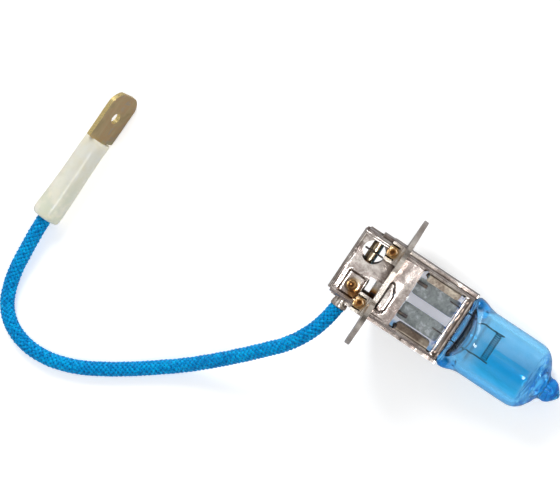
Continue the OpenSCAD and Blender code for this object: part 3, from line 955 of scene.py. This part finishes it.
def shell_cutouts():
    """Round hole, slot, and the window with its two tabs."""
    tabs = []
    for side in (-1, 1):
        out, tip = side * WINDOW_HALF, side * TAB_TIP
        corners = [(WINDOW_X[0], out), (TAB_X[0], out), (TAB_X[0], tip), (TAB_X[1], tip), (TAB_X[1], out),
                   (WINDOW_X[1], out)]
        tabs += corners if side < 0 else corners[::-1]
    radii = [0.2, 0.35, 0.5, 0.9, 0.3, 0.2]
    return [disc(*HOLE), rounded(rectangle(*SLOT), 0.2), rounded(tabs, radii + radii[::-1], 6)]


def folded_shell(half_width, side, marks):
    """Placing of a flat pattern as a shell with its rear and its two walls folded down."""
    def place(u, v):
        out, drop = bent(abs(v) - (half_width - BEND))
        back, rear_drop = bent(FOLD_X - u)
        y = copysign(half_width - BEND + out, v)
        flat = 1 - smooth(abs(v), half_width - BEND - 0.3, half_width - BEND + 0.2)
        height = marks(u, v) * flat if u > FOLD_X else 0
        return (FOLD_X - back if u < FOLD_X else u, y, side * (FACE_Z + height - drop - rear_drop))
    return place


def make_shells():
    wall = BEND * pi / 2 + FACE_Z - BEND - WALL_END
    edge = UPPER_HALF - BEND + wall
    upper = [(-11.1, -5.15), (-7.05, -5.15), (-7.05, -edge), (SHELL_FRONT, -edge), (SHELL_FRONT, edge),
             (-7.05, edge), (-7.05, 5.15), (-11.1, 5.15)]
    upper = rounded(upper, [0.4, 0, 0.3, 0.3, 0.3, 0.3, 0, 0.4], 4)
    ferrule_hole = disc(FERRULE_X, -(UPPER_HALF - BEND + BEND * pi / 2 + FACE_Z - BEND), 1.36)
    pressed("shell_upper_press", upper, shell_cutouts() + [ferrule_hole],
            folded_shell(UPPER_HALF, 1, upper_marks), [SHELL_METAL], "shell_metal",
            stands_for=("shell_upper",))
    edge = LOWER_HALF - BEND + wall
    lower = [(-7.0, -5.5), (-4.8, -5.5), (-4.8, -edge + 1.2), (-4.2, -edge + 1.2), (-4.2, -edge),
             (3.1, -edge), (3.1, -edge + 0.2), (6.0, -edge + 0.2), (6.0, -edge), (8.7, -edge),
             (8.7, -edge + 0.06), (11.3, -edge + 0.06), (11.3, -edge), (12.35, -edge), (12.35, -5.6),
             (12.6, -5.4), (12.6, 5.4), (12.35, 5.6), (12.35, edge), (-4.8, edge), (-4.8, 5.5), (-7.0, 5.5)]
    pressed("shell_lower_press", rounded(lower, 0.16), shell_cutouts(),
            folded_shell(LOWER_HALF, -1, press_marks), [SHELL_METAL], "shell_metal", flip=True,
            stands_for=("shell_lower",))


def make_flange_disc():
    rim = [(FLANGE_R * cos(a), FLANGE_R * sin(a))
           for a in (radians(90 + KEY_ANGLE + i * (360 - 2 * KEY_ANGLE) / 120) for i in range(121))]
    key = [(KEY_HALF, 10.5), (KEY_HALF, KEY_FLOOR), (-KEY_HALF, KEY_FLOOR), (-KEY_HALF, 10.5)]
    key = rounded([rim[-1]] + key + [rim[0]], [0, 0.25, 0.3, 0.3, 0.25, 0], 4)[1:-1]
    opening = rounded([(-6.2, -2.35), (6.2, -2.35), (6.2, 2.35), (0.95, 2.35), (0.95, 2.95), (-4.35, 2.95),
                       (-4.35, 2.35), (-6.2, 2.35)], 0.25, 4)

    def dished(u, v):
        return (0.05 * lump(u * 0.2, v * 0.2, 1.3) - 0.05, u, v)
    pressed("flange_disc", rim + key, [opening], dished, [FLANGE_METAL], "flange_metal",
            thickness=FLANGE_T - 0.05, pitch=0.6, stands_for=("flange_plate",), bevel=0.14)


def ear_place(a, b):
    """Placing of an ear: flat on its shell at the welded end, then turned up into the flange."""
    def place(u, v):
        x = EAR_REAR + u
        rise = 0.0
        if x > EAR_BEND_X:
            angle = min((x - EAR_BEND_X) / EAR_BEND, pi / 2)
            x, rise = EAR_BEND_X + EAR_BEND * sin(angle), EAR_BEND * (1 - cos(angle))
        off = abs(v - WELD_Y)
        tab = 0.06 * (1 - smooth(off, 0.8, 0.9)) * (1 - smooth(u, 0.9, 1.6))
        dent = 0.06 * (1 - smooth(hypot(x - WELD_X, off), 0.2, 0.75))
        return (x, a * v, b * (EAR_TOP - tab - dent + rise))
    return place


def make_ears():
    """Four ears, each slit on both sides of its weld so that a tab of it can be pressed down."""
    slits = []
    for centre in (WELD_Y + 1, WELD_Y - 1):
        slits += [(0, centre + 0.12), (1.5, centre + 0.12), (1.5, centre - 0.12), (0, centre - 0.12)]
    ear = rounded(rectangle(0, 2.4, *EAR_Y) + slits, [0.35, 0, 0, 0.35] + [0.05] * 8)
    for a, b in QUARTERS:
        name = "ear_" + ("left" if a > 0 else "right") + ("_top" if b > 0 else "_back")
        pressed(name, ear, [], ear_place(a, b), [FLANGE_METAL], "flange_metal", pitch=0.22, flip=a * b < 0,
                bevel=0.06)


def make_welds():
    """Four fused nuggets, each a raised ring round a burnt dimple."""
    nugget = [(-0.12, 0), (-0.1, 0.74), (0.02, 0.66), (0.07, 0.52), (0.05, 0.4), (-0.03, 0.24),
              (-0.05, 0.12), (-0.04, 0)]
    welds = Build()
    for a, b in QUARTERS:
        welds.turned([(b * (EAR_TOP + z), r) for z, r in nugget], 40, centre=(WELD_X, a * WELD_Y), axis="z",
                     wobble=lambda z, t: 1 + 0.07 * sin(3 * t + 1) + 0.05 * sin(7 * t))
    welds.piece("weld_nuggets", [WELD_TINT], "weld_tint", stands_for=("weld_spots",), crease=70)


# ---- glass and what it holds
FOILS = {"foil_live": 2.3, "foil_ground": -2.0}
INNER_LEADS = {"inner_lead_live": 3.0, "inner_lead_ground": -1.8}
OUTER_LEADS = {"outer_lead_live": (2.8, -6.1), "outer_lead_ground": (-2.6, -1.6)}  # y and rear end
CAVITY_R = 4.4
PUNT_R = 4.3  # the cavity's pushed-in bottom: its radius and the height of its middle
PUNT_X = 13.9
NOSE_X = 16.6  # where the glass becomes a plain tube


def oval(x, width, height, power):
    """Superellipse across the lamp; a large power squares it. The pinch has a channel and a ridge."""
    ring = []
    for k in range(132):
        a = 2 * pi * (k + 0.5) / 132
        c, s = cos(a), sin(a)
        r = (abs(c) ** power + abs(s) ** power) ** (-1 / power)
        y, z = width * c * r, height * s * r
        channel = plateau(y, (-1.0, -0.75), (1.0, 1.25)) * plateau(x, (2.6, 3.2), (11, 12))
        ridge = exp(-((y - 0.7) / 0.14) ** 2) * plateau(x, (3, 4), (10.5, 11.5))
        ring.append((x, y, z * (1 - 0.12 * channel + 0.12 * ridge)))
    return ring


def round_ring(along, radius):
    """Ring round the lamp's axis; along is a function of the angle."""
    return [(along(a), radius * cos(a), radius * sin(a)) for a in turn_steps(96)]


def punt_rim(a):
    """Where the cavity's bottom meets its wall: lower at the pinch's edges than at its flats."""
    return 13.0 + 1.7 * sin(a) ** 2


def glass_outside():
    rings = [oval(PINCH_START, 4.7, 1.15, 5), oval(2.26, 4.9, 1.3, 6), oval(2.4, 5.0, 1.38, 7)]
    x = 2.8
    while x < 16.1:
        width = lerp(5.0, 6.0, smooth(x, 11.9, 12.7)) - 0.65 * smooth(x, 12.9, 16)
        height = lerp(1.4, width, smooth(x, 12.2, 15.4))
        rings.append(oval(x, width, height, lerp(7, 2, smooth(x, 12.0, 15.0))))
        x += 0.2 if x > 11.6 else 0.45
    nose = [(NOSE_X, TUBE_R), (20, TUBE_R), (23.6, TUBE_R), (24.6, 5.31), (25.3, 5.16), (25.9, 4.86),
            (26.5, 4.32), (27.0, 3.68), (27.4, 2.98), (27.75, 2.26), (28.1, 1.9), (28.5, 1.9), (29.0, 1.86),
            (29.5, 1.6), (29.95, 1.15), (30.4, 0.62), (30.62, 0.3), (30.68, 0.05)]
    for x, r in profile(nose, 0.22):
        r *= 1 + 0.012 * sin(x * 9) * smooth(x, 26.4, 27)
        rings.append(oval(x, r, r, 2))
    return rings


def glass_cavity():
    rings = []
    for share in (0.01, 0.2, 0.4, 0.55, 0.7, 0.8, 0.88, 0.94, 0.98, 1.0):
        lip = 0.4 * smooth(share, 0.8, 1) ** 2
        rings.append(round_ring(lambda a: lerp(PUNT_X, punt_rim(a), share ** 2) + lip, PUNT_R * share))
    for share in (0.08, 0.2, 0.36, 0.55, 0.78):
        rings.append(round_ring(lambda a: lerp(punt_rim(a) + 0.4, NOSE_X, share),
                                lerp(PUNT_R, CAVITY_R, share ** 0.3)))
    wall = [(NOSE_X, CAVITY_R), (18, CAVITY_R), (24, CAVITY_R), (25.0, 4.3), (25.7, 3.9), (26.2, 3.1),
            (26.5, 2.2), (26.85, 1.3), (27.4, 0.65), (28.4, 0.45), (29.1, 0.38), (29.3, 0.05)]
    return rings + [round_ring(lambda a: x, r) for x, r in profile(wall, 0.2)]


def make_glass():
    glass = Build()
    glass.rings(glass_outside())
    glass.rings(glass_cavity(), mat=1)
    glass.piece("quartz_glass", [coated_quartz(), clear_quartz()], "coated_quartz", hollow=1,
                stands_for=("quartz_envelope",), crease=60)


COIL_LENGTH = 4.7
COIL_R = 0.49  # radius of the turns, to the middle of the wire
COIL_WIRE = 0.17
COIL_TURNS = 14
COIL_LEAN = 0.23  # how far each turn leans along the coil
COIL_STEPS = 24  # points for each turn


def make_filament():
    """Coil across the lamp, of wire drawn a little thin so that its turns stay apart."""
    start = LIGHT[1] - COIL_LENGTH / 2 + COIL_WIRE / 2
    pitch = (COIL_LENGTH - COIL_WIRE) / COIL_TURNS
    path = []
    for i in range(COIL_TURNS * COIL_STEPS + 1):
        turn, share = divmod(i / COIL_STEPS + 0.5, 1)
        a = 2 * pi * i / COIL_STEPS
        y = start + pitch * (turn + smooth(share, 0.4, 0.6)) - COIL_LEAN * COIL_R * sin(a)
        path.append(Vector((LIGHT[0] - COIL_R * cos(a), y, INNER_Z + COIL_R * sin(a))))
    coil = Build()
    coil.tube(path, 0.4 * COIL_WIRE, 8)
    coil.piece("filament", [TUNGSTEN], "tungsten", stands_for=("filament_coil",), crease=80)


def make_wires():
    """Two supports for the coil, and two leads that thicken on their way into the glass."""
    def add_wire(node, route, radius, sides):
        wire = Build()
        wire.tube(spline(route, 0.2), radius, sides)
        wire.piece(node + "_wire", [LEAD_WIRE], "lead_wire", stands_for=(node,), crease=70)
    for name, y in INNER_LEADS.items():
        sign = 1 if y > 0 else -1
        route = [(x, y + aside * sign, INNER_Z + lift) for x, aside, lift in
                 ((9, 0, 0), (12, 0, 0), (14.4, 0.06, -0.02), (16.4, -0.08, 0), (18.2, -0.04, 0.02),
                  (18.85, 0, 0))]
        add_wire(name, route, lambda t: 0.115 * (1 + 0.06 * sin(40 * t)), 14)
    for name, (y, back) in OUTER_LEADS.items():
        route = [(x, y, OUTER_Z) for x in (back, back + 1.2, 1.0, 2.6, 5)]
        add_wire(name, route, lambda t: 0.15 + 0.13 * smooth(lerp(back, 5, t), -1.5, 1.5), 16)


def make_foils():
    """Foils with thin feathered sides, slightly buckled."""
    for name, y0 in FOILS.items():
        rings = []
        for i in range(34):
            x = lerp(3.42, 10.58, i / 33)
            half_width = 1.4 * (0.9 + 0.1 * plateau(x, (3.4, 3.9), (10.1, 10.6)))
            upper, lower = [], []
            for k in range(23):
                v = -1 + 2 * k / 22
                buckle = 0.03 * lump(x * 1.4, v * 1.6, y0)
                half = 0.036 * sqrt(max(1 - v * v, 0.02))
                upper.append((x, y0 + half_width * v, buckle + half))
                lower.append((x, y0 + half_width * v, buckle - half))
            rings.append(upper + lower[::-1])
        leaf = Build()
        leaf.rings(rings)
        leaf.piece(name + "_leaf", [FOIL], "foil", stands_for=(name,), crease=50)


# ---- contacts and ferrule
def make_ground():
    """Strip welded to the earthed lead, seen through the slot, with a foot under it."""
    def place(u, v):
        return (-0.15 - u, v, 0.04 - 0.1 * smooth(u, 1.4, 1.7))
    pressed("ground_strip", rounded(rectangle(0, 1.7, -3.4, -0.4), 0.15), [], place, [TAB_METAL],
            "tab_metal", thickness=0.45, flip=True, stands_for=("ground_tab",), bevel=0.08)
    section = rounded(rectangle(-1.68, -1.22, -3.35, -0.45), 0.1)
    foot = Build()
    foot.rings([[(x, y, z) for x, y in section] for z in (-1.78, -1.2, -0.6, 0.0)])
    add_bevel(foot.piece("ground_foot", [TAB_METAL], "tab_metal"), 0.03, 35)


def make_contact():
    """Barrel crimped on the conductor, with a tongue whose top dips in the middle of the round hole."""
    contact = Build()
    barrel = [(-0.8, 0.74), (-0.8, 0.9), (-0.72, 1.0), (0.1, 0.93), (0.9, 0.99), (1.0, 0.9), (1.0, 0.74)]
    contact.turned(barrel, 40, centre=(FERRULE_X, 0))
    tongue = (0.9, 4.58)
    half_width, thickness = 0.86, 0.5
    rings = []
    for i in range(24):
        y = lerp(*tongue, i / 23)
        width = half_width * (0.8 + 0.2 * smooth(tongue[1] - y, 0, 0.4))
        top = 0.035 - 0.06 * sin(pi * clamp((y - 1.2) / 3.2)) ** 2
        rings.append([(FERRULE_X + width * cos(a), y, top + thickness * (sin(a) - 1))
                      for a in turn_steps(20)])
    contact.rings(rings)
    contact.piece("contact_crimp", [BRASS_STRIP], "tab_metal", stands_for=("live_contact",),
                  crease=50)


def make_ferrule():
    """Tube crimped on the braid by six jaws in a band near its mouth."""
    ferrule = Build()
    ferrule.turned([(-1.2, 1.05), (-1.2, 1.22), (-1.3, 1.29), (-3.2, 1.3), (-5.4, 1.3), (-5.75, 1.22),
                    (-6.15, 1.21), (-6.5, 1.27), (-6.85, 1.3), (-7.02, 1.29), (-7.1, 1.2), (-7.08, 1.07),
                    (-6.9, 1.05)], 56, centre=(FERRULE_X, 0),
                   wobble=lambda y, a: 1 - 0.02 * (1 + cos(6 * a)) * exp(-((y + 5.95) / 0.3) ** 2))
    ferrule.piece("ferrule_tube", [FERRULE_METAL], "ferrule_metal", stands_for=("cable_ferrule",),
                  crease=45)


# ---- terminal and boot
def make_blade():
    half = [(1.6, -2.2), (1.6, -0.35), (3.12, 0.0), (3.14, BLADE_LEN - 1.6), (2.45, BLADE_LEN - 0.55),
            (1.65, BLADE_LEN)]
    radii = [0, 0.25, 0.12, 0.5, 0.6, 0.3]
    outline = rounded(half + [(-x, y) for x, y in reversed(half)], radii + radii[::-1], 4)

    def place(u, v):
        return (u, v, 0.4 + 0.02 * sin(v * 0.8) - 0.03 * smooth(v, 6.6, 8.2))
    pressed("blade", outline, [disc(0, BLADE_LEN - 4.1, 0.9)], place, [BLADE_BRASS, SHEARED_BRASS],
            "blade_brass", BLADE, thickness=0.78, pitch=0.5, bevel=0.12, stands_for=("blade_terminal",))


def make_crimps():
    """Wire crimp and jacket crimp, each seamed along its top, and the strip that joins them."""
    crimps = Build()
    for low, high, outer, inner in ((-6.0, -2.0, 1.33, 0.72), (-9.6, -6.5, 1.64, 1.25)):
        outline = [(low, inner), (low, outer - 0.04), (low + 0.35, outer), (low + 0.8, outer - 0.09),
                   (high - 0.8, outer - 0.09), (high - 0.35, outer), (high, outer - 0.04), (high, inner)]
        crimps.turned(outline, 48, wobble=lambda y, a: 1 - 0.12 * exp(-((a - pi / 2) / 0.22) ** 2))
    crimps.rings([[(x, y, z) for x, z in rectangle(-0.6, 0.6, -1.3, -0.95)] for y in (-6.6, -6.2, -5.9)])
    crimps.piece("crimps", [BLADE_BRASS], "blade_brass", matrix=BLADE, crease=45)


def make_boot():
    """Sleeve with a thin wall, flared at its tail, its outside a little lumpy."""
    outside = [(-0.1, 1.99), (-0.16, 2.1), (-0.6, 2.13), (-2, 2.12), (-4, 2.14), (-6, 2.17), (-8, 2.22),
               (-10, 2.27), (-12, 2.33), (-13.6, 2.38), (-14.4, 2.35), (-14.82, 2.22), (-14.9, 2.08)]
    inside = [(-14.88, 1.84), (-14, 1.81), (-10, 1.81), (-5, 1.81), (-0.8, 1.81), (-0.14, 1.85)]
    inside_limit = 1.9
    rings = []
    for y, r in profile(outside, 0.3) + profile(inside, 0.8):
        shift = 0.04 * sin(y * 0.5)
        ring = []
        for a in turn_steps(72):
            c, s = cos(a), sin(a)
            swell = 0.0
            if r > inside_limit:
                swell = 0.035 * lump(0.5 * y, 0.8 * c, 0.8 * s) - 0.02
                swell += 0.008 * lump(1.7 * y, 2 * c, 5 + 2 * s)
            ring.append(((r + swell) * c + shift, y, (r + swell) * s))
        rings.append(ring)
    boot = Build()
    boot.rings(rings, closed=True)
    boot.piece("boot_sleeve", [boot_rubber()], "boot_rubber", matrix=TERM, body="boot",
               stands_for=("terminal_boot",), crease=70)


def dress(node, material):
    """Gives a CAD node whose shape is right its finish."""
    mesh = frame["nodes"][node].data
    mesh.materials.clear()
    mesh.materials.append(material)


make_shells()
make_flange_disc()
make_ears()
make_welds()
make_glass()
make_filament()
make_wires()
make_foils()
make_ground()
make_contact()
make_ferrule()
make_blade()
make_crimps()
make_boot()
dress("conductor_tail", COPPER)
dress("conductor_end", COPPER)
dress("insulation_tail", CORE_INSULATION)

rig.cord(braid, exit=lead_path[0], length=path_length(lead_path), diameter=LEAD_D * MM, far_end="connector",
        stiffness="stiff", lay="loose", path=lead_path,
        with_pieces=[bpy.data.objects[n] for n in ("blade", "crimps", "boot_sleeve", "conductor_end")])


# ---- floor and light
SOFTBOX = (0.3, -0.02, 0.95)
# What mirrors see round the direction of the softbox: colours by degrees away from it.
STUDIO_BANDS = [(0, (1.0, 0.99, 0.97)), (5, (0.9, 0.88, 0.86)), (11, (0.36, 0.32, 0.3)),
                (18, (0.15, 0.12, 0.11)), (27, (0.28, 0.25, 0.23)), (38, (0.9, 0.88, 0.86)),
                (50, (0.85, 0.83, 0.8)), (57, (0.06, 0.05, 0.045)), (70, (0.1, 0.085, 0.075)),
                (78, (0.8, 0.79, 0.78)), (92, (0.65, 0.64, 0.65)), (100, (0.1, 0.09, 0.085)),
                (180, (0.3, 0.29, 0.28))]
PALE = (0.8, 0.8, 0.8, 1)
SOFT_LIGHT = 0.62
# Name, direction, distance and size in metres, and watts
LAMPS = [("key", (0.42, -0.103, 0.902), 1.0, 0.18, 1.8), ("fill", (-0.55, 0.6, 0.75), 0.6, 0.3, 1.8)]


def make_floor():
    """Plain pale floor that mirrors see darker than the camera does."""
    mesh = bpy.data.meshes.new("floor")
    size = 2.0
    mesh.from_pydata([(x, y, FLOOR_Z) for x, y in rectangle(-size, size, -size, size)], [], [(0, 1, 2, 3)])
    floor = bpy.data.objects.new("floor", mesh)
    scene.collection.objects.link(floor)
    f = Finish("floor")
    rays = f.node("ShaderNodeLightPath").outputs
    mirrored = f.product(rays["Is Glossy Ray"], f.math("SUBTRACT", 1.0, rays["Is Transmission Ray"]))
    paper = f.ramp(f.noise(30, 3), [(0.3, (0.93, 0.93, 0.93)), (0.7, (0.96, 0.96, 0.96))])
    mesh.materials.append(f.done(
        Base_Color=f.mix(mirrored, paper, (0.36, 0.34, 0.34)), Roughness=0.9, Specular_IOR_Level=0.1,
        Emission_Color=(1, 1, 1, 1), Emission_Strength=f.level(mirrored, 0.35, 0.05)))
    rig.stage(floor)


def make_world():
    """Pale room to the camera and through glass, dimmer as a light, and to mirrors a banded studio."""
    world = bpy.data.worlds.new("studio")
    scene.world = world
    world.use_nodes = True
    world.node_tree.nodes.clear()
    w = Nodes(world.node_tree)
    lean = w.vector("DOT_PRODUCT", w.coordinates["Generated"], Vector(SOFTBOX).normalized())
    share = w.math("DIVIDE", w.math("ARCCOSINE", lean), pi)
    bands = w.ramp(share, [(degrees / 180, colour) for degrees, colour in STUDIO_BANDS], "LINEAR")

    def background(colour, strength=1.0):
        made = w.node("ShaderNodeBackground")
        w.feed(made, Color=colour, Strength=strength)
        return made.outputs[0]
    rays = w.node("ShaderNodeLightPath").outputs
    result = background(PALE, SOFT_LIGHT)
    for ray, colour in (("Is Glossy Ray", bands), ("Is Transmission Ray", PALE), ("Is Camera Ray", PALE)):
        pick = w.node("ShaderNodeMixShader")
        w.join(rays[ray], pick.inputs["Fac"])
        w.join(result, pick.inputs[1])
        w.join(background(colour), pick.inputs[2])
        result = pick.outputs[0]
    w.join(result, w.node("ShaderNodeOutputWorld").inputs["Surface"])


def make_lamps():
    for name, way, distance, size, power in LAMPS:
        light = bpy.data.lights.new(name, "AREA")
        light.shape = "DISK"
        light.size = size
        light.energy = power
        lamp = bpy.data.objects.new(name, light)
        way = Vector(way).normalized()
        turn = way.to_track_quat("Z", "Y").to_matrix().to_4x4()
        lamp.matrix_world = Matrix.Translation(distance * way) @ turn
        scene.collection.objects.link(lamp)


make_floor()
make_world()
make_lamps()
scene.view_settings.view_transform = "Standard"
scene.cycles.max_bounces = 24
scene.cycles.glossy_bounces = 16
scene.cycles.transmission_bounces = 24

with open("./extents.json", "w") as out:
    json.dump({"cad": [list(v) for v in cad_bounds], "visual": [list(v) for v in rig.bounds()]}, out)
